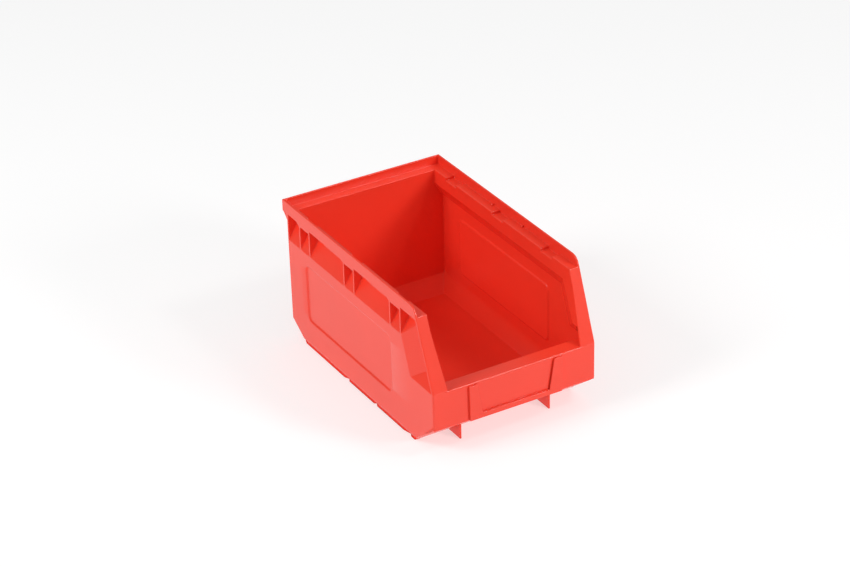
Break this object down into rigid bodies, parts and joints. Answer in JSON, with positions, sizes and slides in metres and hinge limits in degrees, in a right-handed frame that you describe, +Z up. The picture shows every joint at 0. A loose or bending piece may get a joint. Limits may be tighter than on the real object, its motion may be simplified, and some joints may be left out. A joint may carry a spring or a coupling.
{
  "type": "stackable storage bin",
  "caption": "Open-fronted stackable plastic storage bin with a channelled stacking rim, side gussets, toothed runners, hopper flanges and a front label holder.",
  "frame": {"origin": "plan centre of the bounding box, at the level of the runners' feet", "axes": "+X across the width to the right when facing the hopper front, +Y from the hopper front to the rear lip, +Z up"},
  "size_m": [0.15, 0.242, 0.125],
  "materials": {
    "polypropylene": "satin"
  },
  "bodies": {
    "root": {"floor_panel": "polypropylene", "front_slope": "polypropylene", "rear_slope": "polypropylene", "back_wall": "polypropylene", "front_wall": "polypropylene", "front_lip": "polypropylene", "left_side_wall": "polypropylene", "right_side_wall": "polypropylene", "left_shoulder": "polypropylene", "right_shoulder": "polypropylene", "left_hopper_cheek": "polypropylene", "right_hopper_cheek": "polypropylene", "left_hopper_flange": "polypropylene", "right_hopper_flange": "polypropylene", "left_rim": "polypropylene", "right_rim": "polypropylene", "rear_rim": "polypropylene", "rear_lip_gussets": "polypropylene", "left_gussets": "polypropylene", "right_gussets": "polypropylene", "left_runner": "polypropylene", "right_runner": "polypropylene", "left_front_foot": "polypropylene", "right_front_foot": "polypropylene", "left_label_rail": "polypropylene", "right_label_rail": "polypropylene", "label_ledge": "polypropylene", "stacking_pips": "polypropylene"}
  },
  "joints": []
}
